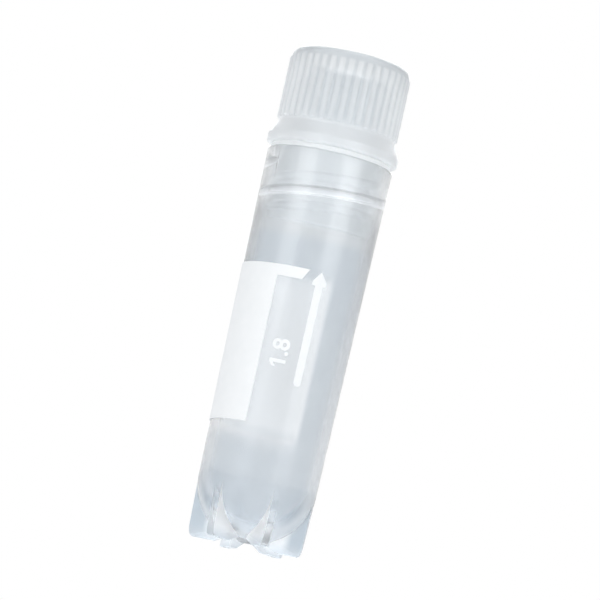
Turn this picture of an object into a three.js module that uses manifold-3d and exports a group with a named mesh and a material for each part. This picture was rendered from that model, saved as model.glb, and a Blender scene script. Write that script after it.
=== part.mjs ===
// Internal-thread cryogenic vial: a round-bottomed tube on a star foot, a hollow screw cap,
// and the silicone gasket between them, with the two fields of white ink on the tube.
// Millimetres, +Z up. The origin is on the floor below the axis of the tube.
// Angles are counted anticlockwise from +X as seen from above; the front of the vial faces -Y.

import * as THREE from 'three';
import { ConvexGeometry } from 'three/addons/geometries/ConvexGeometry.js';
import { mergeVertices, toCreasedNormals } from 'three/addons/utils/BufferGeometryUtils.js';
import Module from 'manifold-3d';

const wasm = await Module();
wasm.setup();

// ---------------------------------------------------------------- driving dimensions

const FRONT_ANGLE = - 90;

// Tube
const TUBE_HEIGHT = 39.2;
const RIM_RADIUS = 6.25;
const FOOT_RADIUS = 5.87;
const TUBE_WALL = 0.95;
const RIM_CHAMFER = 0.2;

// Round bottom of the tube, which shows between the legs and is hollowed underneath
const DOME_CLEARANCE = 0.15;
const DOME_RISE = 5.85;
const BOTTOM_WALL = 1.0;

// Star foot
const LEG_COUNT = 6;
const LEG_TIP_WIDTH = 0.75;
const VALLEY_ROOT_RADIUS = 2.25;
const VALLEY_FLOOR_RADIUS = 0.95;
const VALLEY_FLARE_HEIGHT = 1.25;
const VALLEY_ANGLE = - 99.4;
const LEG_DRAFT = 1.7;
const FOOT_EDGE_WIDTH = 0.45;
const FOOT_EDGE_HEIGHT = 1.1;
const FOOT_HOLLOW_RADIUS = 3.1;
const FOOT_HOLLOW_DEPTH = 1.05;

// Thread, cut the same in the neck of the tube and on the cap
const THREAD_PITCH = 3.0;
const THREAD_DEPTH = 0.4;
const THREAD_CREST = 0.55;
const THREAD_FLANK_ANGLE = 30;
const THREAD_CLEARANCE = 0.2;
const THREAD_RUN_OUT = 30;
const THREAD_BURIAL = 0.3;
const CAP_THREAD_TURNS = 1.6;
const NECK_THREAD_TURNS = 1.15;
const THREAD_START_ANGLE = 170;

// Neck of the tube
const NECK_WALL = 0.75;
const NECK_DEPTH = 7.5;

// Gasket
const GASKET_THICKNESS = 0.5;
const GASKET_SETBACK = 0.2;
const GASKET_CLEARANCE = 0.3;

// Screw cap
const INSERT_LENGTH = 7.9;
const INSERT_WALL = 1.0;
const INSERT_CHAMFER = 0.3;
const HEAD_HEIGHT = 9.8;
const FLANGE_RADIUS = 6.55;
const FLANGE_CHAMFER = 0.3;
const FLANGE_HEIGHT = 0.9;
const FLARE_HEIGHT = 1.3;
const GRIP_RADIUS = 6.05;
const TOP_EDGE_RADIUS = 0.8;
const TOP_PLATE = 1.2;
const DISC_RECESS_RADIUS = 4.6;
const DISC_RECESS_DEPTH = 0.7;
const CAVITY_DRAFT = 1;

// Ribs round the grip
const RIB_COUNT = 40;
const RIB_DEPTH = 0.18;
const RIB_LENGTH = 6.6;
const RIB_CREST_SHARE = 0.35;
const RIB_ROOT_SHARE = 0.65;

// White ink
const INK_THICKNESS = 0.1;
const INK_CLEARANCE = 0.02;
const PANEL_BASE = 11.5;
const PANEL_HEIGHT = 15.8;
const PANEL_START_ANGLE = 63;
const PANEL_SPAN = 182;
const HEADER_HEIGHT = 1.1;
const HEADER_SPAN = 29;
const HEADER_SLANT = 0.55;
const ARROW_ANGLE = 15;
const ARROW_LENGTH = 11.5;
const ARROW_WIDTH = 0.75;
const ARROW_HEAD_WIDTH = 1.4;
const ARROW_HEAD_LENGTH = 1.4;

// Facets round each revolved surface
const TUBE_SIDES = 60;
const BORE_SIDES = 40;
const INSERT_SIDES = 42;
const HEAD_SIDES = 2 * RIB_COUNT;
const FACETS_PER_THREAD_STEP = 2;

// Edges sharper than this show as edges.
const CREASE_ANGLE = 30;

// Corners closer than WELD are one corner.
const WELD = 0.0001;
const SHORT_EDGE = 0.005;

// How far a cutting body passes the surface that it cuts
const OVERCUT = 1;

// ---------------------------------------------------------------- sizes that follow

const DEG = Math.PI / 180;

const boreRadius = RIM_RADIUS - NECK_WALL;
const neckCrestRadius = boreRadius - THREAD_DEPTH;
const capCrestRadius = boreRadius - THREAD_CLEARANCE;
const insertRadius = neckCrestRadius - THREAD_CLEARANCE;
const insertBoreRadius = insertRadius - INSERT_WALL;

const flangeZ = TUBE_HEIGHT + GASKET_THICKNESS;
const insertEndZ = flangeZ - INSERT_LENGTH;
const capTopZ = flangeZ + HEAD_HEIGHT;
const grooveRadius = GRIP_RADIUS - RIB_DEPTH;

const bottomRadius = FOOT_RADIUS - TUBE_WALL;
const bottomInnerZ = FOOT_HOLLOW_DEPTH + BOTTOM_WALL;
const bottomCentreZ = bottomInnerZ + bottomRadius;
const domeTopZ = DOME_CLEARANCE + DOME_RISE;
const legRadius = FOOT_RADIUS - ( domeTopZ - FOOT_EDGE_HEIGHT ) * Math.tan( LEG_DRAFT * DEG );
const padOuterRadius = legRadius - FOOT_EDGE_WIDTH;

const threadRoot = THREAD_CREST + 2 * THREAD_DEPTH * Math.tan( THREAD_FLANK_ANGLE * DEG );

// Height of the middle of the cap's thread where it starts, just above the end of the insert.
const capThreadZ = insertEndZ + INSERT_CHAMFER + threadRoot / 2 + THREAD_CLEARANCE;

const panelTopZ = PANEL_BASE + PANEL_HEIGHT;

// The outer wall has one straight taper from the top of the dome to the rim.
function tubeRadiusAt( z ) {

	const share = ( z - domeTopZ ) / ( TUBE_HEIGHT - domeTopZ );
	return FOOT_RADIUS + ( RIM_RADIUS - FOOT_RADIUS ) * share;

}

// ---------------------------------------------------------------- solids

// Merges corners closer than WELD and drops the triangles that close up with them.
function welded( position, index ) {

	const bare = new THREE.BufferGeometry();
	bare.setAttribute( 'position', position );
	bare.setIndex( index );
	const merged = mergeVertices( bare, WELD );
	const corners = merged.getIndex().array;
	const kept = [];
	for ( let i = 0; i < corners.length; i += 3 ) {

		const [ a, b, c ] = corners.slice( i, i + 3 );
		if ( a !== b && b !== c && c !== a ) kept.push( a, b, c );

	}

	merged.setIndex( kept );
	return merged;

}

function solidOf( geometry ) {

	const closed = welded( geometry.getAttribute( 'position' ), geometry.getIndex() );
	return new wasm.Manifold( new wasm.Mesh( {
		numProp: 3,
		vertProperties: new Float32Array( closed.getAttribute( 'position' ).array ),
		triVerts: new Uint32Array( closed.getIndex().array ),
	} ) );

}

// Edges that the cuts left shorter than SHORT_EDGE are taken out of the finished solid.
function meshOf( name, solid, material ) {

	const { vertProperties, triVerts } = solid.simplify( SHORT_EDGE ).getMesh();
	const position = new THREE.BufferAttribute( vertProperties, 3 );
	const geometry = welded( position, new THREE.BufferAttribute( triVerts, 1 ) );
	const mesh = new THREE.Mesh( toCreasedNormals( geometry, CREASE_ANGLE * DEG ), material );
	mesh.name = name;
	return mesh;

}

// Revolves a section of [ radius, z ] points, listed anticlockwise, about the Z axis.
function revolved( section, sides ) {

	const points = section.map( ( [ radius, z ] ) => new THREE.Vector2( radius, z ) );
	return solidOf( new THREE.LatheGeometry( points, sides ).rotateX( Math.PI / 2 ) );

}

// Points of a quarter ellipse about a centre, from one angle to another.
function arc( centreR, centreZ, radiusR, radiusZ, fromAngle, toAngle, steps ) {

	const points = [];
	for ( let i = 0; i <= steps; i ++ ) {

		const angle = ( fromAngle + ( toAngle - fromAngle ) * i / steps ) * DEG;
		points.push( [ centreR + radiusR * Math.cos( angle ), centreZ + radiusZ * Math.sin( angle ) ] );

	}

	return points;

}

// A flat outline of [ x, y ] points, extruded upwards from z = 0.
function extruded( outline, depth, steps = 1 ) {

	const shape = new THREE.Shape( outline.map( ( [ x, y ] ) => new THREE.Vector2( x, y ) ) );
	return new THREE.ExtrudeGeometry( shape, { depth, steps, bevelEnabled: false } );

}

// A thread ridge on a round wall: a trapezoid from the crest radius to some way inside the wall
// is extruded along the angle and wound up round the axis. Both ends run out into the wall.
// Its sections stand over the middles of the wall's facets, clear of the corners between them.
function threadRidge( crestRadius, wallRadius, wallSides, turns, startZ ) {

	const buriedRadius = wallRadius + Math.sign( wallRadius - crestRadius ) * THREAD_BURIAL;
	const halfCrest = THREAD_CREST / 2;
	const flankSlope = Math.tan( THREAD_FLANK_ANGLE * DEG );
	const halfBuried = halfCrest + Math.abs( buriedRadius - crestRadius ) * flankSlope;
	const section = [
		[ crestRadius, - halfCrest ],
		[ crestRadius, halfCrest ],
		[ buriedRadius, halfBuried ],
		[ buriedRadius, - halfBuried ],
	];

	const facet = 360 / wallSides;
	const steps = Math.round( turns * wallSides / FACETS_PER_THREAD_STEP );
	const sweep = steps * FACETS_PER_THREAD_STEP * facet;
	const facetsToStart = Math.round( ( THREAD_START_ANGLE - FRONT_ANGLE ) / facet ) + 0.5;
	const startAngle = FRONT_ANGLE + facetsToStart * facet;
	const ridge = extruded( section, sweep, steps );
	const position = ridge.getAttribute( 'position' );
	for ( let i = 0; i < position.count; i ++ ) {

		const along = position.getZ( i );
		const angle = startAngle + along;
		const rise = Math.min( 1, along / THREAD_RUN_OUT, ( sweep - along ) / THREAD_RUN_OUT );
		const radius = buriedRadius + ( position.getX( i ) - buriedRadius ) * rise;
		const lead = THREAD_PITCH * ( angle - THREAD_START_ANGLE ) / 360;
		const height = startZ + lead - position.getY( i );
		position.setXYZ( i, radius * Math.cos( angle * DEG ), radius * Math.sin( angle * DEG ), height );

	}

	return solidOf( ridge );

}

// ---------------------------------------------------------------- tube

// Outside of the tube with its round bottom, solid up to the rim.
function tubeBody() {

	const section = [
		...arc( 0, domeTopZ, FOOT_RADIUS, DOME_RISE, - 90, 0, 9 ),
		[ RIM_RADIUS, TUBE_HEIGHT - RIM_CHAMFER ],
		[ RIM_RADIUS - RIM_CHAMFER, TUBE_HEIGHT ],
		[ 0, TUBE_HEIGHT ],
	];
	section[ 0 ][ 0 ] = 0;
	return revolved( section, TUBE_SIDES );

}

// The skirt that the legs are cut from, drafted inwards to a rounded lower edge.
function footSkirt() {

	const edgeCentre = legRadius - FOOT_EDGE_WIDTH;
	const section = [
		[ 0, 0 ],
		...arc( edgeCentre, FOOT_EDGE_HEIGHT, FOOT_EDGE_WIDTH, FOOT_EDGE_HEIGHT, - 90, 0, 3 ),
		[ FOOT_RADIUS, domeTopZ ],
		[ 0, domeTopZ ],
	];
	return revolved( section, TUBE_SIDES );

}

// The round hollow under the foot, which leaves a pad at the tip of each leg.
function footHollow() {

	const ballRadius = ( FOOT_HOLLOW_RADIUS ** 2 + FOOT_HOLLOW_DEPTH ** 2 ) / ( 2 * FOOT_HOLLOW_DEPTH );
	const ballAngle = Math.asin( FOOT_HOLLOW_RADIUS / ballRadius ) / DEG;
	const ballZ = FOOT_HOLLOW_DEPTH - ballRadius;
	const section = [
		[ 0, - OVERCUT ],
		[ FOOT_HOLLOW_RADIUS, - OVERCUT ],
		...arc( 0, ballZ, ballRadius, ballRadius, 90 - ballAngle, 90, 4 ),
	];
	section.at( - 1 )[ 0 ] = 0;
	return revolved( section, BORE_SIDES );

}

// How fast a valley that starts at a root radius opens, so that its faces end at the leg tips.
function valleySpread( rootRadius ) {

	const tipAngle = Math.PI / LEG_COUNT - Math.asin( LEG_TIP_WIDTH / 2 / FOOT_RADIUS );
	return FOOT_RADIUS * Math.sin( tipAngle ) / ( FOOT_RADIUS * Math.cos( tipAngle ) - rootRadius );

}

// The corners of a wedge, open outwards, at one height.
function wedgeCorners( rootRadius, spread, z ) {

	const outerRadius = FOOT_RADIUS + OVERCUT;
	const halfWidth = ( outerRadius - rootRadius ) * spread;
	return [
		new THREE.Vector3( rootRadius, 0, z ),
		new THREE.Vector3( outerRadius, halfWidth, z ),
		new THREE.Vector3( outerRadius, - halfWidth, z ),
	];

}

// One valley between two legs: upright above, and leaning inwards to the floor, where the legs are thin.
function valleyCutter( angle ) {

	const spread = valleySpread( VALLEY_ROOT_RADIUS );
	const upright = new ConvexGeometry( [
		...wedgeCorners( VALLEY_ROOT_RADIUS, spread, - OVERCUT ),
		...wedgeCorners( VALLEY_ROOT_RADIUS, spread, domeTopZ + OVERCUT ),
	] );

	const floorSpread = valleySpread( VALLEY_FLOOR_RADIUS );
	const lean = ( VALLEY_ROOT_RADIUS - VALLEY_FLOOR_RADIUS ) / VALLEY_FLARE_HEIGHT;
	const leaning = new ConvexGeometry( [
		...wedgeCorners( VALLEY_FLOOR_RADIUS - OVERCUT * lean, floorSpread, - OVERCUT ),
		...wedgeCorners( VALLEY_ROOT_RADIUS, floorSpread, VALLEY_FLARE_HEIGHT ),
	] );
	return solidOf( upright ).add( solidOf( leaning ) ).rotate( [ 0, 0, angle ] );

}

// The legs of the star foot, spread evenly from the valley by the front.
function starFoot() {

	let foot = footSkirt();
	for ( let i = 0; i < LEG_COUNT; i ++ ) {

		foot = foot.subtract( valleyCutter( VALLEY_ANGLE + i * 360 / LEG_COUNT ) );

	}

	return foot;

}

// Inside of the tube: a round bottom, the tapered bore and the wider neck.
function tubeBore() {

	const neckZ = TUBE_HEIGHT - NECK_DEPTH;
	const section = [
		...arc( 0, bottomCentreZ, bottomRadius, bottomRadius, - 90, 0, 7 ),
		[ tubeRadiusAt( neckZ ) - TUBE_WALL, neckZ ],
		[ boreRadius, neckZ + 2 * THREAD_DEPTH ],
		[ boreRadius, TUBE_HEIGHT + OVERCUT ],
		[ 0, TUBE_HEIGHT + OVERCUT ],
	];
	section[ 0 ][ 0 ] = 0;
	return revolved( section, BORE_SIDES );

}

function neckThread() {

	const startZ = capThreadZ + THREAD_PITCH / 2;
	return threadRidge( neckCrestRadius, boreRadius, BORE_SIDES, NECK_THREAD_TURNS, startZ );

}

function vialTube() {

	const outside = tubeBody().add( starFoot() ).subtract( footHollow() );
	return outside.subtract( tubeBore() ).add( neckThread() );

}

// ---------------------------------------------------------------- gasket

function gasket() {

	const inner = insertRadius + GASKET_CLEARANCE;
	const outer = RIM_RADIUS - GASKET_SETBACK;
	const section = [
		[ inner, TUBE_HEIGHT ],
		[ outer, TUBE_HEIGHT ],
		[ outer, flangeZ ],
		[ inner, flangeZ ],
		[ inner, TUBE_HEIGHT ],
	];
	return revolved( section, BORE_SIDES );

}

// ---------------------------------------------------------------- screw cap

// The round insert that goes down into the neck, carried up into the head.
function capInsert() {

	const section = [
		[ 0, insertEndZ ],
		[ insertRadius - INSERT_CHAMFER, insertEndZ ],
		[ insertRadius, insertEndZ + INSERT_CHAMFER ],
		[ insertRadius, flangeZ + FLANGE_HEIGHT ],
		[ 0, flangeZ + FLANGE_HEIGHT ],
	];
	return revolved( section, INSERT_SIDES );

}

// Outside of the head: the flange with its flare, the grip and the round top edge.
function capHead() {

	const edgeZ = capTopZ - TOP_EDGE_RADIUS;
	const edgeRadius = grooveRadius - TOP_EDGE_RADIUS;
	const section = [
		[ 0, flangeZ ],
		[ FLANGE_RADIUS - FLANGE_CHAMFER, flangeZ ],
		[ FLANGE_RADIUS, flangeZ + FLANGE_CHAMFER ],
		[ FLANGE_RADIUS, flangeZ + FLANGE_HEIGHT ],
		[ grooveRadius, flangeZ + FLANGE_HEIGHT + FLARE_HEIGHT ],
		...arc( edgeRadius, edgeZ, TOP_EDGE_RADIUS, TOP_EDGE_RADIUS, 0, 90, 4 ),
		[ 0, capTopZ ],
	];
	return revolved( section, HEAD_SIDES );

}

// The ribs as one toothed prism, which the head is joined to.
function gripRibs() {

	const step = 360 / RIB_COUNT;
	const outline = [];
	for ( let i = 0; i < RIB_COUNT; i ++ ) {

		const middle = FRONT_ANGLE + i * step;
		for ( const [ radius, offset ] of [
			[ grooveRadius - RIB_DEPTH, - RIB_ROOT_SHARE / 2 ],
			[ GRIP_RADIUS, - RIB_CREST_SHARE / 2 ],
			[ GRIP_RADIUS, RIB_CREST_SHARE / 2 ],
			[ grooveRadius - RIB_DEPTH, RIB_ROOT_SHARE / 2 ],
		] ) {

			const angle = ( middle + offset * step ) * DEG;
			outline.push( [ radius * Math.cos( angle ), radius * Math.sin( angle ) ] );

		}

	}

	const ribTopZ = capTopZ - TOP_EDGE_RADIUS;
	return solidOf( extruded( outline, RIB_LENGTH ).translate( 0, 0, ribTopZ - RIB_LENGTH ) );

}

// The hollow of the cap, open at the end of the insert and slightly narrower at the top.
function capCavity() {

	const cavityTopZ = capTopZ - DISC_RECESS_DEPTH - TOP_PLATE;
	const topRadius = insertBoreRadius - ( cavityTopZ - insertEndZ ) * Math.tan( CAVITY_DRAFT * DEG );
	const section = [
		[ 0, insertEndZ - OVERCUT ],
		[ insertBoreRadius, insertEndZ - OVERCUT ],
		[ insertBoreRadius, insertEndZ ],
		[ topRadius, cavityTopZ ],
		[ 0, cavityTopZ ],
	];
	return revolved( section, BORE_SIDES );

}

// The shallow round seat in the top of the cap.
function discRecess() {

	const floorZ = capTopZ - DISC_RECESS_DEPTH;
	const section = [
		[ 0, floorZ ],
		[ DISC_RECESS_RADIUS, floorZ ],
		[ DISC_RECESS_RADIUS, capTopZ + OVERCUT ],
		[ 0, capTopZ + OVERCUT ],
	];
	return revolved( section, BORE_SIDES );

}

function capThread() {

	return threadRidge( capCrestRadius, insertRadius, INSERT_SIDES, CAP_THREAD_TURNS, capThreadZ );

}

function screwCap() {

	const outside = capHead().add( gripRibs() ).add( capInsert() ).add( capThread() );
	return outside.subtract( capCavity() ).subtract( discRecess() );

}

// ---------------------------------------------------------------- ink on the tube

// A thin sleeve round the tube, following its taper, that the printed fields are cut from.
function inkSleeve( lowZ, highZ ) {

	const lowRadius = tubeRadiusAt( lowZ ) + INK_CLEARANCE;
	const highRadius = tubeRadiusAt( highZ ) + INK_CLEARANCE;
	const section = [
		[ lowRadius, lowZ ],
		[ lowRadius + INK_THICKNESS, lowZ ],
		[ highRadius + INK_THICKNESS, highZ ],
		[ highRadius, highZ ],
		[ lowRadius, lowZ ],
	];
	return revolved( section, TUBE_SIDES );

}

// A flat outline of [ across, up ] points, facing outwards at an angle, as a block through the wall.
function printBlock( outline, facing ) {

	const block = extruded( outline, RIM_RADIUS + OVERCUT );
	return solidOf( block.rotateX( Math.PI / 2 ).rotateZ( ( facing - FRONT_ANGLE ) * DEG ) );

}

// The writing panel goes half round the tube; its header reaches on past the front, cut on a slant.
function writingPanel() {

	const reach = RIM_RADIUS + OVERCUT;
	const sectorShape = new THREE.Shape();
	sectorShape.moveTo( 0, 0 );
	const endAngle = PANEL_START_ANGLE + PANEL_SPAN;
	sectorShape.absarc( 0, 0, reach, PANEL_START_ANGLE * DEG, endAngle * DEG, false );
	const sectorGeometry = new THREE.ExtrudeGeometry( sectorShape, {
		depth: PANEL_HEIGHT + 2 * OVERCUT,
		bevelEnabled: false,
	} );
	const sector = solidOf( sectorGeometry.translate( 0, 0, PANEL_BASE - OVERCUT ) );

	const inkRadius = tubeRadiusAt( panelTopZ );
	const facing = endAngle + HEADER_SPAN / 2;
	const halfChord = inkRadius * Math.sin( HEADER_SPAN / 2 * DEG );
	const headerBase = panelTopZ - HEADER_HEIGHT;
	const header = printBlock( [
		[ - halfChord - OVERCUT / 2, headerBase ],
		[ halfChord - HEADER_SLANT, headerBase ],
		[ halfChord, panelTopZ + OVERCUT ],
		[ - halfChord - OVERCUT / 2, panelTopZ + OVERCUT ],
	], facing );

	return inkSleeve( PANEL_BASE, panelTopZ ).intersect( sector.add( header ) );

}

// The arrow beside the panel: a bar with a round foot and a pointed head level with the panel's top.
function arrowMark() {

	const footZ = panelTopZ - ARROW_LENGTH;
	const headZ = panelTopZ - ARROW_HEAD_LENGTH;
	const half = ARROW_WIDTH / 2;
	const outline = [
		...arc( 0, footZ + half, half, half, 180, 360, 8 ),
		[ half, headZ ],
		[ ARROW_HEAD_WIDTH / 2, headZ ],
		[ 0, panelTopZ ],
		[ - ARROW_HEAD_WIDTH / 2, headZ ],
		[ - half, headZ ],
	];
	const block = printBlock( outline, FRONT_ANGLE + ARROW_ANGLE );
	return inkSleeve( footZ - OVERCUT, panelTopZ + OVERCUT ).intersect( block );

}

// ---------------------------------------------------------------- materials and scene

const polypropylene = new THREE.MeshStandardMaterial( {
	color: 0xced6de,
	roughness: 0.3,
	metalness: 0,
	transparent: true,
	opacity: 0.55,
} );
const capPolypropylene = new THREE.MeshStandardMaterial( {
	color: 0xd6dce0,
	roughness: 0.35,
	metalness: 0,
	transparent: true,
	opacity: 0.7,
} );
const silicone = new THREE.MeshStandardMaterial( { color: 0xe4e6e4, roughness: 0.6, metalness: 0 } );
const panelInk = new THREE.MeshStandardMaterial( { color: 0xf4f8f8, roughness: 0.7, metalness: 0 } );
const arrowInk = new THREE.MeshStandardMaterial( { color: 0xf2f5f6, roughness: 0.7, metalness: 0 } );

const vial = new THREE.Group();
vial.add( meshOf( 'vial_tube', vialTube(), polypropylene ) );
vial.add( meshOf( 'gasket', gasket(), silicone ) );
vial.add( meshOf( 'screw_cap', screwCap(), capPolypropylene ) );
vial.add( meshOf( 'writing_panel', writingPanel(), panelInk ) );
vial.add( meshOf( 'arrow_mark', arrowMark(), arrowInk ) );

export default vial;
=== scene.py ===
"""Looks of the internal-thread cryogenic vial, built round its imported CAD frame.

Lengths are written in millimetres and turned into metres by MM. The axis of the vial is the Z axis,
its front faces -Y, and angles are in degrees, counted anticlockwise from +X as seen from above.
"""

from math import atan2, cos, degrees, pi, radians, sin, tan

import bpy
from mathutils import Matrix, Vector


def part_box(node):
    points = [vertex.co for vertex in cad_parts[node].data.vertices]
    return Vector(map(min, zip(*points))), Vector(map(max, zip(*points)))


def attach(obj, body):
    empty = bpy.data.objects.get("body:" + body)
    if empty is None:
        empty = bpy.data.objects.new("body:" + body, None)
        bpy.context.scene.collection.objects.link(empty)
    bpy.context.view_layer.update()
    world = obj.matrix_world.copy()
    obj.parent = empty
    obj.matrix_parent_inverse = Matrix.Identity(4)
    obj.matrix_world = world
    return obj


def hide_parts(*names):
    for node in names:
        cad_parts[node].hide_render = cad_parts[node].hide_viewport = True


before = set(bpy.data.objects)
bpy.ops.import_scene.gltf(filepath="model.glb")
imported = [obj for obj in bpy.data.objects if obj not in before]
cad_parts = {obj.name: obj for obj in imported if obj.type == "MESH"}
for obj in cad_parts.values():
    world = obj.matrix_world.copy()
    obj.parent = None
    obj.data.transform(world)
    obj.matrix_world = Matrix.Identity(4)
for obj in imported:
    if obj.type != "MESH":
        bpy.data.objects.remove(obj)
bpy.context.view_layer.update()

MM = 0.001


def box_mm(node):
    low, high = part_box(node)
    return low / MM, high / MM


# ------------------------------------------------------------------ sizes

FRONT_ANGLE = -90

# How far cutters reach past what they cut, and how far off a corner may be that is looked for
CUT_PAST = 1
NEAR = 0.01

# Corners closer than these are welded, and a pole starts as a ring that is welded to a point
WELD = 0.001
TURNED_WELD = 0.002
SLIVER = 0.0005
POLE_RADIUS = 0.0005

# Quarter turns of a profile's round corners
DOWN_TO_OUT = (-90, 0)
OUT_TO_UP = (0, 90)
UP_TO_IN = (90, 180)
IN_TO_DOWN = (180, 270)

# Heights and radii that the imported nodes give
TUBE_HEIGHT = box_mm("vial_tube")[1].z
FLANGE_Z = box_mm("gasket")[1].z
INSERT_END_Z = box_mm("screw_cap")[0].z
CAP_TOP_Z = box_mm("screw_cap")[1].z
PANEL_BASE = box_mm("writing_panel")[0].z
PANEL_TOP = box_mm("writing_panel")[1].z
ARROW_BASE = box_mm("arrow_mark")[0].z

# Tube
RIM_RADIUS = 6.25
FOOT_RADIUS = 5.87
TUBE_WALL = 0.95
RIM_ROUNDING = 0.2
DOME_BASE_Z = 0.15
DOME_TOP_Z = 6.0
DOME_RISE = DOME_TOP_Z - DOME_BASE_Z
BOTTOM_INNER_Z = 2.05
BORE_RADIUS = 5.5
NECK_DEPTH = 7.5
TUBE_CREASE = 28

# Star foot
LEG_COUNT = 6
LEG_TIP_WIDTH = 0.75
LEG_DRAFT = 1.7
VALLEY_ROOT_RADIUS = 2.25
VALLEY_FLOOR_RADIUS = 0.95
VALLEY_FLARE_HEIGHT = 1.25
VALLEY_ANGLE = -99.4
VALLEY_REACH = 4
ROOT_ROUNDING = 0.3
FOOT_EDGE_WIDTH = 0.45
FOOT_EDGE_HEIGHT = 1.1
FOOT_HOLLOW_RADIUS = 3.1
FOOT_HOLLOW_DEPTH = 1.05

# Thread
THREAD_PITCH = 3.0
THREAD_DEPTH = 0.4
THREAD_CREST = 0.55
THREAD_FLANK_ANGLE = 30
THREAD_CLEARANCE = 0.2
THREAD_RUN_OUT = 30
THREAD_BURIAL = 0.3
THREAD_BURIAL_MARGIN = 0.02
THREAD_EDGE = 0.13
THREAD_START_ANGLE = 170
CAP_THREAD_TURNS = 1.6
NECK_THREAD_TURNS = 1.15
STEPS_A_TURN = 120

# Cap
INSERT_RADIUS = 4.9
INSERT_BORE = 3.9
INSERT_CHAMFER = 0.3
FLANGE_RADIUS = 6.55
FLANGE_HEIGHT = 0.9
FLANGE_ROUNDING = 0.3
FLANGE_SHOULDER = (0.2, 0.3)
FLANGE_SHOULDER_DROP = 0.1
FLANGE_SHOULDER_TURN = (0, 55)
FLARE_HEIGHT = 1.3
GRIP_RADIUS = 6.05
RIB_COUNT = 40
RIB_DEPTH = 0.18
RIB_LENGTH = 6.6
RIB_END = 0.2
RIB_END_ROWS = (0, 0.12, 0.3)
TOP_EDGE_RADIUS = 0.8
TOP_PLATE = 1.2
DISC_RADIUS = 4.6
DISC_DEPTH = 0.7
DISC_EDGE = 0.12
DISC_FLOOR_EDGE = 0.1
CAVITY_DRAFT = 1
CAVITY_ROUNDING = 0.4
CAP_FILLET = 0.15
CAP_CREASE = 35

# The flare's last points: out from the floor of the grooves, and up from the foot of the grip
FLARE_END = ((0.12, -0.15), (0.02, 0))

# Gasket
GASKET_INNER = 5.2
GASKET_OUTER = 6.05
GASKET_ROUNDING = 0.12
GASKET_CREASE = 40

# Ink
INK_THICKNESS = 0.1
INK_CLEARANCE = 0.02
INK_CREASE = 35
PANEL_START_ANGLE = 63
PANEL_SPAN = 182
HEADER_HEIGHT = 1.1
HEADER_SPAN = 29
HEADER_SLANT = 0.55
PANEL_STRIP_ANGLE = 2
ARROW_ANGLE = 15
ARROW_WIDTH = 0.75
ARROW_HEAD_WIDTH = 1.4
ARROW_HEAD_LENGTH = 1.4
ARROW_STRIP = 0.1

# The arrow's lower corners are rounded so far that they nearly meet
ARROW_ROUNDING = 0.98 * ARROW_WIDTH / 2

# The figures of the volume
NUMERAL_HEIGHT = 1.65
NUMERAL_STROKE = 0.36
NUMERAL_FLAG = 0.4
NUMERAL_BASE_X = 0.05
NUMERAL_START_Z = 17.3
NUMERAL_STRIP = 0.15
NUMERAL_MARGIN = 0.2
NUMERAL_FATTENING = 0.05
FONT_FIGURE_HEIGHT = 0.7

# Sides of the turned pieces
TUBE_SIDES = 180
HEAD_SIDES = 8 * RIB_COUNT

leg_radius = FOOT_RADIUS - (DOME_TOP_Z - FOOT_EDGE_HEIGHT) * tan(radians(LEG_DRAFT))
pad_outer = leg_radius - FOOT_EDGE_WIDTH
bottom_radius = FOOT_RADIUS - TUBE_WALL
groove_radius = GRIP_RADIUS - RIB_DEPTH
rib_top = CAP_TOP_Z - TOP_EDGE_RADIUS
rib_base = rib_top - RIB_LENGTH
thread_root = THREAD_CREST + 2 * THREAD_DEPTH * tan(radians(THREAD_FLANK_ANGLE))
cap_thread_z = INSERT_END_Z + INSERT_CHAMFER + thread_root / 2 + THREAD_CLEARANCE


def tube_radius_at(z):
    share = (z - DOME_TOP_Z) / (TUBE_HEIGHT - DOME_TOP_Z)
    return FOOT_RADIUS + (RIM_RADIUS - FOOT_RADIUS) * share


# ------------------------------------------------------------------ hand tools

def deselect_all():
    bpy.ops.object.select_all(action="DESELECT")


def pick(piece):
    """Makes a piece the only one selected, and the active one."""
    deselect_all()
    piece.select_set(True)
    bpy.context.view_layer.objects.active = piece


def settle(piece):
    """Moves an object's place and turn into its mesh."""
    pick(piece)
    bpy.ops.object.transform_apply(location=True, rotation=True, scale=True)


def edit_mode():
    bpy.ops.object.mode_set(mode="EDIT")


def edit_whole():
    """Goes to edit mode with everything selected."""
    edit_mode()
    bpy.ops.mesh.select_all(action="SELECT")


def object_mode():
    bpy.ops.object.mode_set(mode="OBJECT")


def scale_from_axis(x, y, z=1):
    bpy.ops.transform.resize(value=(x, y, z), center_override=(0, 0, 0))


def new_plane(name, size, middle, rotation=(0, 0, 0)):
    """A settled plane with these two sizes and this middle, in millimetres."""
    deselect_all()
    bpy.ops.mesh.primitive_plane_add(size=1)
    plane = bpy.context.object
    plane.name = name
    plane.rotation_euler = rotation
    plane.scale = (size[0] * MM, size[1] * MM, 1)
    plane.location = [length * MM for length in middle]
    settle(plane)
    return plane


def from_axis(x, y):
    return (x * x + y * y) ** 0.5


def copy_of(piece):
    copy = piece.copy()
    copy.data = piece.data.copy()
    bpy.context.scene.collection.objects.link(copy)
    return copy


def select_verts(piece, wanted):
    """In edit mode, selects the corners for which wanted(x, y, z), in millimetres, is true."""
    bpy.ops.mesh.select_mode(type="VERT")
    bpy.ops.mesh.select_all(action="DESELECT")
    object_mode()
    for vert in piece.data.vertices:
        vert.select = wanted(*(vert.co / MM))
    edit_mode()


def arc(centre, radii, turn, steps):
    """Profile points on an ellipse, from one angle to another."""
    start, end = turn
    points = []
    for i in range(steps + 1):
        angle = radians(start + (end - start) * i / steps)
        points.append((centre[0] + radii[0] * cos(angle), centre[1] + radii[1] * sin(angle)))
    return points


def rounding(radius, centre, turn, steps):
    """Profile points on a circle, from one angle to another."""
    return arc(centre, (radius, radius), turn, steps)


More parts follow.
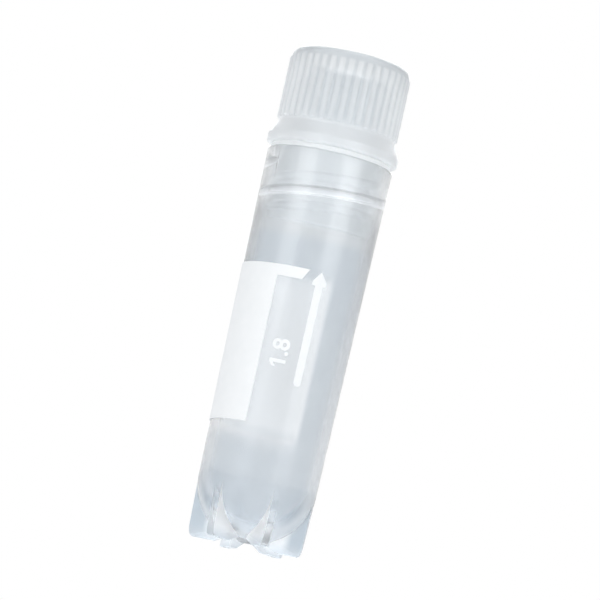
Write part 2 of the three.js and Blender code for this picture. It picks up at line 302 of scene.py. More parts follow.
def turned(name, profile, sides):
    """Turns a profile of (radius, z) points about the axis, from a ring pulled on point by point.

    A profile whose ends lie on the axis is closed to poles; any other is closed to a ring.
    """
    points = [(max(radius, POLE_RADIUS), z) for radius, z in profile]
    deselect_all()
    start_r, start_z = points[0]
    bpy.ops.mesh.primitive_circle_add(
        vertices=sides, radius=start_r * MM, location=(0, 0, start_z * MM),
    )
    piece = bpy.context.object
    piece.name = name
    settle(piece)
    edit_whole()
    for (old_r, old_z), (new_r, new_z) in zip(points, points[1:]):
        bpy.ops.mesh.extrude_region_move(
            TRANSFORM_OT_translate={"value": (0, 0, (new_z - old_z) * MM)}
        )
        scale_from_axis(new_r / old_r, new_r / old_r)
    bpy.ops.mesh.select_all(action="SELECT")
    bpy.ops.mesh.remove_doubles(threshold=TURNED_WELD * MM)
    bpy.ops.mesh.normals_make_consistent(inside=False)
    object_mode()
    return piece


def joined(piece, other, operation):
    """Joins, cuts or crosses a piece with another solid, which is used up."""
    pick(piece)
    cut = piece.modifiers.new("cut", "BOOLEAN")
    cut.operation = operation
    cut.object = other
    cut.solver = "EXACT"
    cut.material_mode = "TRANSFER"
    bpy.ops.object.modifier_apply(modifier=cut.name)
    bpy.data.objects.remove(other)
    return piece


def made_of(finish, piece):
    piece.data.materials.clear()
    piece.data.materials.append(finish)
    return piece


def smoothed(piece, angle):
    pick(piece)
    bpy.ops.object.shade_smooth_by_angle(angle=radians(angle))
    return piece


# ------------------------------------------------------------------ thread

def thread_ridge(name, crest, wall, turns, start_z):
    """A round-edged ridge wound up round the axis, whose ends run out into the wall."""
    side = 1 if wall > crest else -1
    buried = wall + side * THREAD_BURIAL
    half_crest = THREAD_CREST / 2
    half_buried = half_crest + abs(buried - crest) * tan(radians(THREAD_FLANK_ANGLE))
    middle = (crest + buried) / 2
    steps = round(turns * STEPS_A_TURN)
    step = 360 / STEPS_A_TURN

    section = (abs(buried - crest), 2 * half_buried)
    ridge = new_plane(name, section, (middle, 0, 0), (pi / 2, 0, 0))
    edit_mode()
    select_verts(ridge, lambda x, y, z: (x - middle) * side < 0)
    scale_from_axis(1, 1, half_crest / half_buried)
    bpy.ops.mesh.bevel(offset=THREAD_EDGE * MM, segments=3, affect="VERTICES")
    bpy.ops.mesh.select_all(action="SELECT")
    bpy.ops.mesh.delete(type="ONLY_FACE")
    object_mode()

    winding = ridge.modifiers.new("winding", "SCREW")
    winding.axis = "Z"
    winding.angle = 2 * pi * turns
    winding.screw_offset = THREAD_PITCH * turns * MM
    winding.steps = winding.render_steps = steps
    bpy.ops.object.modifier_apply(modifier=winding.name)

    edit_mode()
    bpy.ops.mesh.select_all(action="DESELECT")
    bpy.ops.mesh.select_non_manifold()
    bpy.ops.mesh.fill_holes(sides=0)

    def steps_along(x, y, z):
        lead = 360 * z / THREAD_PITCH
        angle = degrees(atan2(y, x))
        return (angle + 360 * round((lead - angle) / 360)) / step

    for ring in range(round(THREAD_RUN_OUT / step)):
        target = buried + (crest - buried) * ring * step / THREAD_RUN_OUT
        for place in (ring, steps - ring):
            select_verts(ridge, lambda x, y, z: (
                round(steps_along(x, y, z)) == place
                and abs(from_axis(x, y) - buried) > THREAD_BURIAL_MARGIN
            ))
            scale_from_axis(target / crest, target / crest)

    bpy.ops.mesh.select_all(action="SELECT")
    bpy.ops.mesh.remove_doubles(threshold=WELD * MM)
    bpy.ops.mesh.normals_make_consistent(inside=False)
    object_mode()
    ridge.rotation_euler = (0, 0, radians(THREAD_START_ANGLE))
    ridge.location = (0, 0, start_z * MM)
    settle(ridge)
    return ridge


# ------------------------------------------------------------------ tube

def tube_outside():
    profile = arc((0, DOME_TOP_Z), (FOOT_RADIUS, DOME_RISE), DOWN_TO_OUT, steps=30)
    rim = (RIM_RADIUS - RIM_ROUNDING, TUBE_HEIGHT - RIM_ROUNDING)
    profile += rounding(RIM_ROUNDING, rim, OUT_TO_UP, steps=4)
    profile += [(0, TUBE_HEIGHT)]
    return turned("tube_body", profile, TUBE_SIDES)


def tube_bore():
    neck_z = TUBE_HEIGHT - NECK_DEPTH
    profile = rounding(bottom_radius, (0, BOTTOM_INNER_Z + bottom_radius), DOWN_TO_OUT, steps=24)
    profile += [
        (tube_radius_at(neck_z) - TUBE_WALL, neck_z),
        (BORE_RADIUS, neck_z + 2 * THREAD_DEPTH),
        (BORE_RADIUS, TUBE_HEIGHT + CUT_PAST),
        (0, TUBE_HEIGHT + CUT_PAST),
    ]
    return turned("bore", profile, TUBE_SIDES)


def foot_skirt():
    profile = [(0, 0)]
    edge = (FOOT_EDGE_WIDTH, FOOT_EDGE_HEIGHT)
    profile += arc((pad_outer, FOOT_EDGE_HEIGHT), edge, DOWN_TO_OUT, steps=8)
    profile += [(FOOT_RADIUS, DOME_TOP_Z), (0, DOME_TOP_Z)]
    return turned("skirt", profile, TUBE_SIDES)


def foot_hollow():
    ball = (FOOT_HOLLOW_RADIUS ** 2 + FOOT_HOLLOW_DEPTH ** 2) / (2 * FOOT_HOLLOW_DEPTH)
    reach = degrees(atan2(FOOT_HOLLOW_RADIUS, ball - FOOT_HOLLOW_DEPTH))
    profile = [(0, -CUT_PAST), (FOOT_HOLLOW_RADIUS, -CUT_PAST)]
    profile += rounding(ball, (0, FOOT_HOLLOW_DEPTH - ball), (90 - reach, 90), steps=10)
    return turned("hollow", profile, TUBE_SIDES)


def valley_spread(root):
    """How fast a valley that starts at a root radius opens, to end at the leg tips."""
    tip_angle = pi / LEG_COUNT - LEG_TIP_WIDTH / 2 / FOOT_RADIUS
    return FOOT_RADIUS * sin(tip_angle) / (FOOT_RADIUS * cos(tip_angle) - root)


def wedge(root, spread, low_z, high_z):
    """A three-sided prism between two legs, with its rounded root towards the axis."""
    triangle_depth = 1.5
    triangle_half_width = sin(pi / 3)
    reach = (FOOT_RADIUS + VALLEY_REACH - root) / triangle_depth
    deselect_all()
    bpy.ops.mesh.primitive_cylinder_add(
        vertices=3, radius=reach * MM, depth=(high_z - low_z) * MM, rotation=(0, 0, pi / 2),
        location=((root + reach) * MM, 0, (low_z + high_z) / 2 * MM),
    )
    prism = bpy.context.object
    settle(prism)
    edit_whole()
    scale_from_axis(1, triangle_depth * spread / triangle_half_width)
    select_verts(prism, lambda x, y, z: x < root + NEAR)
    bpy.ops.mesh.bevel(offset=ROOT_ROUNDING * MM, segments=5, affect="EDGES")
    object_mode()
    return prism


def valley():
    """Upright above, and leaning inwards to the floor, where the legs are thin."""
    low = -CUT_PAST
    root = VALLEY_ROOT_RADIUS
    upright = wedge(root, valley_spread(root), low, DOME_TOP_Z + CUT_PAST)
    leaning = wedge(root, valley_spread(VALLEY_FLOOR_RADIUS), low, VALLEY_FLARE_HEIGHT)
    lean = (root - VALLEY_FLOOR_RADIUS) / VALLEY_FLARE_HEIGHT
    edit_mode()
    select_verts(leaning, lambda x, y, z: z < 0)
    bpy.ops.transform.translate(value=(-lean * (VALLEY_FLARE_HEIGHT - low) * MM, 0, 0))
    object_mode()
    return joined(upright, leaning, "UNION")


def tube(clear, frosted):
    """The vial's body, clear outside and inside, and frosted between its legs and on its thread."""
    foot = made_of(clear, foot_skirt())
    gap = made_of(frosted, valley())
    for i in range(LEG_COUNT):
        cutter = copy_of(gap)
        cutter.rotation_euler = (0, 0, radians(VALLEY_ANGLE + i * 360 / LEG_COUNT))
        settle(cutter)
        joined(foot, cutter, "DIFFERENCE")
    bpy.data.objects.remove(gap)
    body = joined(made_of(clear, tube_outside()), foot, "UNION")
    joined(body, made_of(clear, foot_hollow()), "DIFFERENCE")
    joined(body, made_of(clear, tube_bore()), "DIFFERENCE")
    neck_ridge = thread_ridge("neck_ridge", BORE_RADIUS - THREAD_DEPTH, BORE_RADIUS,
                              NECK_THREAD_TURNS, cap_thread_z + THREAD_PITCH / 2)
    joined(body, made_of(frosted, neck_ridge), "UNION")
    pick(body)
    edit_whole()
    bpy.ops.mesh.dissolve_degenerate(threshold=SLIVER * MM)
    object_mode()
    return smoothed(body, TUBE_CREASE)


# ------------------------------------------------------------------ cap

def cap_profile():
    """From the top of the hollow, down inside the insert, and up outside to the disc's recess."""
    disc_floor = CAP_TOP_Z - DISC_DEPTH
    cavity_top = disc_floor - TOP_PLATE
    cavity_top_r = INSERT_BORE - (cavity_top - INSERT_END_Z) * tan(radians(CAVITY_DRAFT))
    flange_top = FLANGE_Z + FLANGE_HEIGHT
    grip_base = flange_top + FLARE_HEIGHT

    profile = [
        (0, cavity_top),
        (cavity_top_r - CAVITY_ROUNDING, cavity_top),
        (cavity_top_r, cavity_top - CAVITY_ROUNDING),
    ]
    centre = (INSERT_BORE + CAP_FILLET, INSERT_END_Z + CAP_FILLET)
    profile += rounding(CAP_FILLET, centre, IN_TO_DOWN, steps=4)
    centre = (INSERT_RADIUS - INSERT_CHAMFER, INSERT_END_Z + INSERT_CHAMFER)
    profile += rounding(INSERT_CHAMFER, centre, DOWN_TO_OUT, steps=5)
    profile += [(INSERT_RADIUS, FLANGE_Z - CAP_FILLET), (INSERT_RADIUS + CAP_FILLET, FLANGE_Z)]
    centre = (FLANGE_RADIUS - FLANGE_ROUNDING, FLANGE_Z + FLANGE_ROUNDING)
    profile += rounding(FLANGE_ROUNDING, centre, DOWN_TO_OUT, steps=6)
    centre = (FLANGE_RADIUS - FLANGE_SHOULDER[0], flange_top - FLANGE_SHOULDER_DROP)
    profile += arc(centre, FLANGE_SHOULDER, FLANGE_SHOULDER_TURN, steps=4)
    profile += [(groove_radius + out, grip_base + up) for out, up in FLARE_END]

    profile += [(groove_radius, rib_base + up) for up in RIB_END_ROWS]
    profile += [(groove_radius, (rib_base + rib_top) / 2)]
    profile += [(groove_radius, rib_top - RIB_END_ROWS[-1])]
    centre = (groove_radius - TOP_EDGE_RADIUS, rib_top)
    profile += rounding(TOP_EDGE_RADIUS, centre, OUT_TO_UP, steps=10)
    centre = (DISC_RADIUS + DISC_EDGE, CAP_TOP_Z - DISC_EDGE)
    profile += rounding(DISC_EDGE, centre, UP_TO_IN, steps=3)
    profile += [
        (DISC_RADIUS, disc_floor + DISC_FLOOR_EDGE),
        (DISC_RADIUS - DISC_FLOOR_EDGE, disc_floor),
        (0, disc_floor),
    ]
    return profile


def cap():
    body = turned("cap_body", cap_profile(), HEAD_SIDES)

    def share_of_step(x, y):
        turn = (degrees(atan2(y, x)) - FRONT_ANGLE) * RIB_COUNT / 360
        return abs(turn - round(turn))

    # Each rib's crest and its two shoulders: from and to a share of a step, and the radius there
    crest = (0, 0.15, GRIP_RADIUS)
    shoulders = (0.2, 0.3, GRIP_RADIUS - 0.05)
    edit_mode()
    for nearest, furthest, radius in (crest, shoulders):
        select_verts(body, lambda x, y, z: (
            rib_base + RIB_END < z < rib_top - RIB_END
            and nearest <= share_of_step(x, y) <= furthest
            and from_axis(x, y) > groove_radius - NEAR
        ))
        scale_from_axis(radius / groove_radius, radius / groove_radius)
    object_mode()

    ridge = thread_ridge("cap_ridge", BORE_RADIUS - THREAD_CLEARANCE, INSERT_RADIUS,
                         CAP_THREAD_TURNS, cap_thread_z)
    joined(body, ridge, "UNION")
    return smoothed(body, CAP_CREASE)


def gasket():
    middle = GASKET_OUTER - GASKET_ROUNDING
    profile = rounding(GASKET_ROUNDING, (middle, TUBE_HEIGHT + GASKET_ROUNDING), DOWN_TO_OUT, steps=4)
    profile += rounding(GASKET_ROUNDING, (middle, FLANGE_Z - GASKET_ROUNDING), OUT_TO_UP, steps=4)
    profile += [(GASKET_INNER, FLANGE_Z), (GASKET_INNER, TUBE_HEIGHT)]
    profile += [profile[0]]
    return smoothed(turned("gasket_ring", profile, TUBE_SIDES), GASKET_CREASE)


# ------------------------------------------------------------------ ink

def flat_print(name, low, high):
    """A flat field in the XZ plane, between two (x, z) corners."""
    size = (high[0] - low[0], high[1] - low[1])
    middle = ((low[0] + high[0]) / 2, 0, (low[1] + high[1]) / 2)
    return new_plane(name, size, middle, (pi / 2, 0, 0))


def trimmed(field, point, normal):
    """Cuts a flat field along a line and drops the side that normal points to."""
    pick(field)
    edit_whole()
    bpy.ops.mesh.bisect(
        plane_co=(point[0] * MM, 0, point[1] * MM), plane_no=(normal[0], 0, normal[1]),
        clear_outer=True,
    )
    object_mode()


def sliced(field, low_x, high_x, width):
    """Cuts a flat field into upright strips, so that it can follow the round tube."""
    pick(field)
    edit_mode()
    for i in range(1, int((high_x - low_x) / width) + 1):
        bpy.ops.mesh.select_all(action="SELECT")
        bpy.ops.mesh.bisect(plane_co=((low_x + i * width) * MM, 0, 0), plane_no=(1, 0, 0))
    object_mode()


def printed(field):
    """Lays a flat field on the tube, its X being the way round from the front, and thickens it."""
    for vert in field.data.vertices:
        x, y, z = vert.co / MM
        radius = tube_radius_at(z) + INK_CLEARANCE
        angle = radians(FRONT_ANGLE) + x / tube_radius_at(PANEL_TOP)
        vert.co = Vector((radius * cos(angle), radius * sin(angle), z)) * MM
    pick(field)
    thickness = field.modifiers.new("thickness", "SOLIDIFY")
    thickness.thickness = INK_THICKNESS * MM
    thickness.offset = 1
    bpy.ops.object.modifier_apply(modifier=thickness.name)
    return smoothed(field, INK_CREASE)


def arc_length(angle):
    """The way round the tube's top, in millimetres, over an angle."""
    return radians(angle) * tube_radius_at(PANEL_TOP)


def merged(name, fields):
    deselect_all()
    for field in fields:
        field.select_set(True)
    bpy.context.view_layer.objects.active = fields[0]
    bpy.ops.object.join()
    whole = bpy.context.object
    whole.name = name
    edit_whole()
    bpy.ops.mesh.remove_doubles(threshold=WELD * MM)
    object_mode()
    return whole


def writing_panel():
    header_base = PANEL_TOP - HEADER_HEIGHT
    near = arc_length(PANEL_START_ANGLE + PANEL_SPAN - 360 - FRONT_ANGLE)
    far = near - arc_length(PANEL_SPAN)
    end = near + arc_length(HEADER_SPAN)
    header = flat_print("header", (far, header_base), (end, PANEL_TOP))
    trimmed(header, (end, PANEL_TOP), (HEADER_HEIGHT, -HEADER_SLANT))
    field = flat_print("field", (far, PANEL_BASE), (near, header_base))
    for part in (header, field):
        sliced(part, far, end, arc_length(PANEL_STRIP_ANGLE))
    return printed(merged("panel_print", [header, field]))


def arrow_mark():
    """A bar with a rounded lower end and a pointed head."""
    middle = arc_length(ARROW_ANGLE)
    half = ARROW_WIDTH / 2
    head_z = PANEL_TOP - ARROW_HEAD_LENGTH
    head_half = ARROW_HEAD_WIDTH / 2
    head = flat_print("head", (middle - head_half, head_z), (middle + head_half, PANEL_TOP))
    trimmed(head, (middle, PANEL_TOP), (ARROW_HEAD_LENGTH, head_half))
    trimmed(head, (middle, PANEL_TOP), (-ARROW_HEAD_LENGTH, head_half))
    bar = flat_print("bar", (middle - half, ARROW_BASE), (middle + half, head_z))
    edit_mode()
    select_verts(bar, lambda x, y, z: z < ARROW_BASE + half)
    bpy.ops.mesh.bevel(offset=ARROW_ROUNDING * MM, segments=10, affect="VERTICES")
    object_mode()
    for part in (bar, head):
        sliced(part, middle - head_half, middle + head_half, ARROW_STRIP)
    return printed(merged("arrow_print", [bar, head]))


def figure_one():
    """A bar with a flag that leans down to the left of its head."""
    middle = (NUMERAL_FLAG + NUMERAL_STROKE / 2, NUMERAL_HEIGHT / 2, 0)
    one = new_plane("one", (NUMERAL_STROKE, NUMERAL_HEIGHT), middle)
    flag_low = NUMERAL_HEIGHT - NUMERAL_STROKE
    edit_whole()
    bpy.ops.mesh.bisect(plane_co=(0, flag_low * MM, 0), plane_no=(0, 1, 0))
    select_verts(one, lambda x, y, z: x < NUMERAL_FLAG + NEAR and y > flag_low - NEAR)
    bpy.ops.mesh.extrude_region_move(
        TRANSFORM_OT_translate={"value": (-NUMERAL_FLAG * MM, -NUMERAL_STROKE * MM, 0)}
    )
    object_mode()
    return one


def numerals():
    """The tube's volume in plain figures, reading upwards."""
    one = figure_one()
    deselect_all()
    bpy.ops.object.text_add(location=((NUMERAL_FLAG + 2 * NUMERAL_STROKE) * MM, 0, 0))
    rest = bpy.context.object
    rest.data.body = ".8"
    rest.data.size = NUMERAL_HEIGHT / FONT_FIGURE_HEIGHT * MM
    rest.data.offset = NUMERAL_FATTENING * MM
    rest.data.resolution_u = 8
    bpy.ops.object.convert(target="MESH")
    settle(bpy.context.object)
    text = merged("volume_numerals", [bpy.context.object, one])
    text.matrix_world = (
        Matrix.Translation((NUMERAL_BASE_X * MM, 0, NUMERAL_START_Z * MM))
        @ Matrix.Rotation(pi / 2, 4, "X") @ Matrix.Rotation(pi / 2, 4, "Z")
    )
    settle(text)
    low_x = NUMERAL_BASE_X - NUMERAL_HEIGHT - NUMERAL_MARGIN
    sliced(text, low_x, NUMERAL_BASE_X + NUMERAL_MARGIN, NUMERAL_STRIP)
    return printed(text)


# ------------------------------------------------------------------ shader maths

class Wire:
    """An output socket that takes part in sums."""

    def __init__(self, finish, socket):
        self.finish = finish
        self.socket = socket

    def __add__(self, other):
        return self.finish.maths("ADD", self, other)

    def __radd__(self, other):
        return self.finish.maths("ADD", other, self)

    def __mul__(self, other):
        return self.finish.maths("MULTIPLY", self, other)


class Finish:
    """A material or world under construction."""

    def __init__(self, owner):
        self.owner = owner
        owner.use_nodes = True
        self.tree = owner.node_tree
        self.tree.nodes.clear()

    def node(self, kind, settings=None, inputs=None, output=0):
        """Adds a node. Inputs are wires, or constants that are set on the socket itself."""
        made = self.tree.nodes.new("ShaderNode" + kind)
        for key, value in (settings or {}).items():
            setattr(made, key, value)
        for key, value in (inputs or {}).items():
            if isinstance(value, Wire):
                self.tree.links.new(value.socket, made.inputs[key])
            else:
                made.inputs[key].default_value = value
        return Wire(self, made.outputs[output])

    def maths(self, operation, first, second):
        return self.node("Math", {"operation": operation}, {0: first, 1: second})

    def place(self):
        return self.node("TexCoord", output="Object")

    def coordinate(self, axis):
        """Object coordinate along an axis, in millimetres."""
        return self.node("SeparateXYZ", None, {0: self.place()}, output=axis) * (1 / MM)

    def height(self):
        """Height above the floor, in millimetres."""
        return self.coordinate("Z")

    def across(self):
        """Distance to the right of the axis, in millimetres."""
        return self.coordinate("X")

    def radius(self):
        """Distance from the vial's axis, in millimetres."""
        flat = self.node("VectorMath", {"operation": "MULTIPLY"}, {0: self.place(), 1: (1, 1, 0)})
        return self.node("VectorMath", {"operation": "LENGTH"}, {0: flat}, output="Value") * (1 / MM)

    def noise(self, size, detail, stretch=(1, 1, 1)):
        """Noise whose lumps are about size millimetres wide."""
        scaled = self.node("Mapping", None, {"Vector": self.place(), "Scale": stretch})
        return self.node("TexNoise", None, {
            "Vector": scaled, "Scale": 1 / (size * MM), "Detail": detail,
        }, output="Fac")

    def spread(self, wire, start, end):
        """0 up to a start value and 1 from an end value on. The end may lie below the start."""
        return self.node("MapRange", None, {"Value": wire, "From Min": start, "From Max": end})

    def mixed(self, amount, first, second):
        settings = {"data_type": "RGBA", "blend_type": "MIX"}
        return self.node("Mix", settings, {0: amount, 6: first, 7: second}, output=2)

    def bump(self, height, strength, distance):
        return self.node("Bump", None, {
            "Height": height, "Strength": strength, "Distance": distance * MM,
        })

    def plastic(self, inputs, lamp_share):
        """Ends the finish in a plastic through which a share of the lamps' light passes."""
        shader = self.node("BsdfPrincipled", None, inputs)
        shadow = self.node("LightPath", output="Is Shadow Ray")
        clear = self.node("BsdfTransparent", None, {"Color": rgb(*lamp_share)})
        self.surface(self.node("MixShader", None, {0: shadow, 1: shader, 2: clear}))
        return self.owner

    def surface(self, shader, kind="OutputMaterial"):
        out = self.tree.nodes.new("ShaderNode" + kind)
        self.tree.links.new(shader.socket, out.inputs["Surface"])


def material(name):
    return Finish(bpy.data.materials.new(name))


def rgb(red, green, blue):
    return (red, green, blue, 1)


# ------------------------------------------------------------------ finishes

POLYPROPYLENE_IOR = 1.49
SILICONE_IOR = 1.41
TUBE_LAMP_SHARE = (0.96, 0.97, 0.98)
CAP_LAMP_SHARE = (0.85, 0.86, 0.87)
SILICONE_LAMP_SHARE = (0.90, 0.91, 0.91)
INK_LAMP_SHARE = (0.9, 0.9, 0.9)

# Noise values that are spread out to 0 and 1
CLOUD_RANGE = (0.3, 0.7)

# Where the finishes change, in millimetres: from the first value, fully at the second
NECK_PAINTED_LIGHT_HEIGHTS = (30.1, 30.9)
RIDGE_PAINTED_SHADE_HEIGHTS = (12, 9)
SIDE_LEG_ACROSS = (3.6, 4.4)
SIDE_LEG_HEIGHTS = (8.0, 4.0)
PAD_HEIGHTS = (1.1, 0.1)
CAP_HEAD_HEIGHTS = (FLANGE_Z - 0.6, FLANGE_Z)
GROOVE_RADII = (GRIP_RADIUS - 0.04, groove_radius)
GROOVE_HEIGHTS = (rib_base, rib_base + TOP_EDGE_RADIUS)
PRINT_EDGE_X = RIM_RADIUS * cos(radians(PANEL_START_ANGLE))
PRINT_ACROSS = (PRINT_EDGE_X + 0.1, PRINT_EDGE_X - 0.3)
PRINT_BASE_HEIGHTS = (PANEL_BASE - 1.6, PANEL_BASE)
PRINT_TOP_HEIGHTS = (PANEL_TOP, PANEL_TOP - 1.0)


def side_leg_shade(finish):
    """1 in the two legs that stand out most to the left and the right, 0 elsewhere: where painted
    shade darkens those legs.
    """
    across = finish.across()
    inner, outer = SIDE_LEG_ACROSS
    aside = finish.spread(across * across, inner ** 2, outer ** 2)
    return aside * finish.spread(finish.height(), *SIDE_LEG_HEIGHTS)


def pad_shade(finish):
    """1 at the floor, where the legs end, and 0 a little above it: where painted shade darkens the
    feet.
    """
    return finish.spread(finish.height(), *PAD_HEIGHTS)


def painted_light_by_print(finish):
    """1 where the writing panel backs or faces the tube's wall, 0 elsewhere: where painted light
    whitens the wall.
    """
    height = finish.height()
    left = finish.spread(finish.across(), *PRINT_ACROSS)
    above = finish.spread(height, *PRINT_BASE_HEIGHTS)
    return left * above * finish.spread(height, *PRINT_TOP_HEIGHTS)


def clear_polypropylene():
    """Natural polypropylene of the tube: cloudy, with faint flow lines."""
    finish = material("clear_polypropylene")
    flow = finish.noise(0.5, detail=2, stretch=(1, 1, 0.06))
    cloudiness = finish.spread(finish.noise(3.0, detail=3), *CLOUD_RANGE)
    unevenness = cloudiness * 0.6 + flow * 0.3
    tint = finish.mixed(unevenness, rgb(0.745, 0.78, 0.815), rgb(0.795, 0.825, 0.85))
    # Painted shade: the two legs at the left and the right are tinted darker.
    tint = finish.mixed(side_leg_shade(finish), tint, rgb(0.73, 0.775, 0.815))
    # Painted shade: the legs are darker at the floor, where they stand.
    tint = finish.mixed(pad_shade(finish), tint, rgb(0.62, 0.66, 0.70))
    # Painted light: the neck's wall is lighter where the cap's insert stands inside it.
    neck = finish.spread(finish.height(), *NECK_PAINTED_LIGHT_HEIGHTS)
    tint = finish.mixed(neck, tint, rgb(0.82, 0.84, 0.855))
    return finish.plastic({
        # Painted light: the wall near and behind the writing panel is whitened, so that the print
        # seen through it looks lit.
        "Base Color": finish.mixed(painted_light_by_print(finish), tint, rgb(0.955, 0.96, 0.965)),
        "Roughness": 0.14 + cloudiness * 0.06 + flow * 0.04,
        "Normal": finish.bump(flow, 0.1, 0.02),
        "IOR": POLYPROPYLENE_IOR,
        "Transmission Weight": 0.94,
    }, TUBE_LAMP_SHARE)


def frosted_polypropylene():
    """The same plastic where the mould is matt: between the legs and on the neck's thread."""
    finish = material("frosted_polypropylene")
    cloud = finish.noise(1.0, detail=3)
    grain = finish.noise(0.12, detail=2)
    tone = finish.mixed(cloud, rgb(0.92, 0.935, 0.95), rgb(0.96, 0.97, 0.975))
    # Painted shade: the frosted thread on the neck is darker than the frosted walls of the foot, to
    # dim its highlight.
    foot = finish.spread(finish.height(), *RIDGE_PAINTED_SHADE_HEIGHTS)
    tone = finish.mixed(foot, rgb(0.86, 0.875, 0.89), tone)
    # Painted shade: the frosted walls of the two legs at the left and the right are darker.
    tone = finish.mixed(side_leg_shade(finish), tone, rgb(0.56, 0.62, 0.67))
    return finish.plastic({
        # Painted shade: the frosted walls are darker at the floor, where the legs stand.
        "Base Color": finish.mixed(pad_shade(finish), tone, rgb(0.66, 0.70, 0.74)),
        "Roughness": 0.36 + grain * 0.12,
        "Normal": finish.bump(grain, 0.2, 0.01),
        "IOR": POLYPROPYLENE_IOR,
        "Transmission Weight": 0.5,
    }, TUBE_LAMP_SHARE)


def milky_polypropylene():
    """The cap's polypropylene, milkier than the tube's, with a satin skin, painted shade in its
    grooves and painted light on its insert, which is paler.
    """
    finish = material("milky_polypropylene")
    flow = finish.noise(0.4, detail=2, stretch=(1, 1, 0.1))
    cloudiness = finish.spread(finish.noise(2.0, detail=3), *CLOUD_RANGE)
    unevenness = cloudiness * 0.6 + flow * 0.3
    tone = finish.mixed(unevenness, rgb(0.80, 0.82, 0.835), rgb(0.85, 0.865, 0.875))
    # Painted shade: darker inside the grooves' radius above the ribs' foot, which darkens the grooves
    # between the ribs and the cap's top too.
    grooves = finish.spread(finish.radius(), *GROOVE_RADII)
    grooves = grooves * finish.spread(finish.height(), *GROOVE_HEIGHTS)
    tone = finish.mixed(grooves, tone, rgb(0.69, 0.72, 0.74))
    # Painted light: the insert below the flange is paler than the cap above it, as if lit inside the
    # tube.
    head = finish.spread(finish.height(), *CAP_HEAD_HEIGHTS)
    return finish.plastic({
        "Base Color": finish.mixed(head, rgb(0.93, 0.94, 0.945), tone),
        "Roughness": 0.30 + cloudiness * 0.10,
        "Normal": finish.bump(flow, 0.1, 0.02),
        "IOR": POLYPROPYLENE_IOR,
        "Transmission Weight": 0.7,
    }, CAP_LAMP_SHARE)


def silicone():
    """Soft milky rubber that lets light through."""
    finish = material("soft_silicone")
    cloud = finish.noise(1.0, detail=3)
    dust = finish.noise(0.05, detail=2)
    return finish.plastic({
        "Base Color": finish.mixed(cloud, rgb(0.88, 0.89, 0.89), rgb(0.93, 0.94, 0.94)),
        "Roughness": 0.5 + dust * 0.2,
        "Normal": finish.bump(dust, 0.3, 0.01),
        "IOR": SILICONE_IOR,
        "Transmission Weight": 0.6,
    }, SILICONE_LAMP_SHARE)


def printing_ink(name, thin, dense):
    """Screen-printed white ink: dense, slightly uneven, with a fine matt grain."""
    finish = material(name)
    density = finish.spread(finish.noise(1.2, detail=4), *CLOUD_RANGE)
    grain = finish.noise(0.06, detail=2)
    return finish.plastic({
        "Base Color": finish.mixed(density, thin, dense),
        "Roughness": 0.5 + grain * 0.25,
        "Normal": finish.bump(grain, 0.35, 0.01),
    }, INK_LAMP_SHARE)


# ------------------------------------------------------------------ pieces

def dress(piece, body, node=None):
    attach(piece, body)
    if node:
        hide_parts(node)


panel_ink = printing_ink("panel_ink", rgb(0.94, 0.955, 0.96), rgb(0.97, 0.98, 0.985))
arrow_ink = printing_ink("arrow_ink", rgb(0.92, 0.94, 0.95), rgb(0.96, 0.97, 0.98))

dress(tube(clear_polypropylene(), frosted_polypropylene()), "vial", "vial_tube")
dress(made_of(milky_polypropylene(), cap()), "cap", "screw_cap")
dress(made_of(silicone(), gasket()), "seal", "gasket")
dress(made_of(panel_ink, writing_panel()), "vial", "writing_panel")
dress(made_of(arrow_ink, arrow_mark()), "vial", "arrow_mark")
dress(made_of(arrow_ink, numerals()), "vial")


# ------------------------------------------------------------------ floor, light and camera

BENCH_RADIUS = 450
BENCH_FADE = (200, 440)
LAMP_SIZE = 300
LAMP_TARGET = (0, 0, 25)
SKY_SEEN = 1.0
SKY_LIGHT = 0.5

# The camera's rise and roll in degrees, its lens and sensor, and the depths it sees, in metres
VIEW_RISE = 7.76
VIEW_ROLL = 12.6
VIEW_DISTANCE = 800
VIEW_TARGET = (0.09, 0, 25.0)
VIEW_LENS = 488
VIEW_SENSOR = 36
VIEW_DEPTHS = (0.01, 100)


def floor():
    """A pale bench top that fades out at its edge and doesn't show from underneath."""
    deselect_all()
    bpy.ops.mesh.primitive_circle_add(vertices=96, radius=BENCH_RADIUS * MM, fill_type="NGON")
    bench = bpy.context.object
    bench.name = "bench_top"
    finish = material("bench_top")
    speckle = finish.noise(0.8, detail=3)
    colour = finish.mixed(speckle, rgb(0.90, 0.91, 0.92), rgb(0.93, 0.94, 0.94))
    board = finish.node("BsdfPrincipled", None, {"Base Color": colour, "Roughness": 0.8})
    fade = finish.spread(finish.radius(), *BENCH_FADE)
    away = finish.maths("MAXIMUM", fade, finish.node("NewGeometry", output="Backfacing"))
    clear = finish.node("BsdfTransparent")
    finish.surface(finish.node("MixShader", None, {0: away, 1: board, 2: clear}))
    bench.data.materials.append(finish.owner)


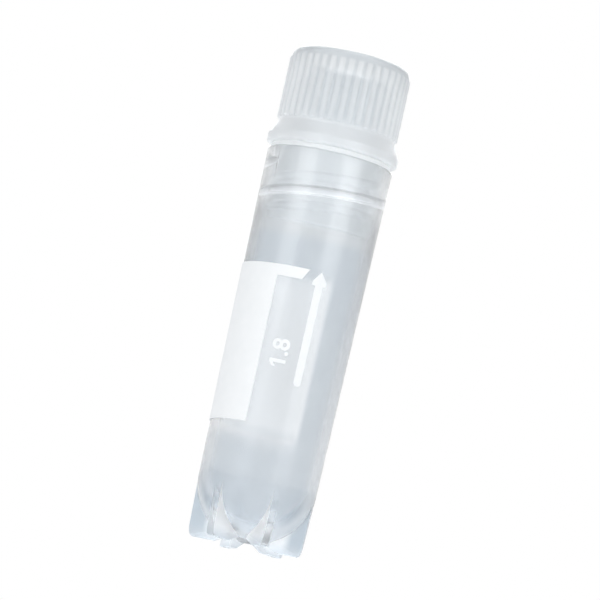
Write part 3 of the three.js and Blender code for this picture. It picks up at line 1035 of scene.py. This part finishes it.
def lamp(name, place, power):
    """A square soft box that faces the middle of the vial. Its place is in millimetres."""
    light = bpy.data.lights.new(name, "AREA")
    light.shape = "SQUARE"
    light.size = LAMP_SIZE * MM
    light.energy = power
    holder = bpy.data.objects.new(name, light)
    bpy.context.scene.collection.objects.link(holder)
    holder.visible_transmission = False
    holder.location = Vector(place) * MM
    facing = Vector(LAMP_TARGET) - Vector(place)
    holder.rotation_euler = facing.to_track_quat("-Z", "Y").to_euler()


def surroundings():
    """A white room to see, and a dimmer one that lights the vial."""
    world = bpy.data.worlds.new("studio")
    bpy.context.scene.world = world
    finish = Finish(world)
    seen = finish.node("LightPath", output="Is Camera Ray")
    for ray in ("Is Glossy Ray", "Is Transmission Ray"):
        seen = finish.maths("MAXIMUM", seen, finish.node("LightPath", output=ray))
    white = finish.node("Background", None, {"Color": rgb(1, 1, 1), "Strength": SKY_SEEN})
    light = finish.node("Background", None, {"Color": rgb(0.95, 0.97, 1.0), "Strength": SKY_LIGHT})
    sky = finish.node("MixShader", None, {0: seen, 1: light, 2: white})
    finish.surface(sky, "OutputWorld")


def camera():
    """A long lens that looks slightly upwards at the vial and is rolled, so that the vial leans."""
    data = bpy.data.cameras.new("camera")
    data.lens = VIEW_LENS
    data.sensor_width = VIEW_SENSOR
    data.clip_start, data.clip_end = VIEW_DEPTHS
    holder = bpy.data.objects.new("camera", data)
    bpy.context.scene.collection.objects.link(holder)
    rise, roll = radians(VIEW_RISE), radians(VIEW_ROLL)
    forward = Vector((0, cos(rise), sin(rise)))
    level_up = Vector((0, -sin(rise), cos(rise)))
    level_right = Vector((1, 0, 0))
    right = cos(roll) * level_right + sin(roll) * level_up
    up = cos(roll) * level_up - sin(roll) * level_right
    place = (Vector(VIEW_TARGET) - VIEW_DISTANCE * forward) * MM
    holder.matrix_world = Matrix((
        (right.x, up.x, -forward.x, place.x),
        (right.y, up.y, -forward.y, place.y),
        (right.z, up.z, -forward.z, place.z),
        (0, 0, 0, 1),
    ))
    bpy.context.scene.camera = holder


floor()
surroundings()
lamp("key_light", (-300, -330, 260), 0.69)
lamp("fill_light", (300, -330, 200), 0.62)
lamp("top_light", (0, -60, 480), 0.35)
lamp("back_light", (0, 400, 260), 0.6)
camera()
bpy.context.scene.view_settings.view_transform = "Standard"
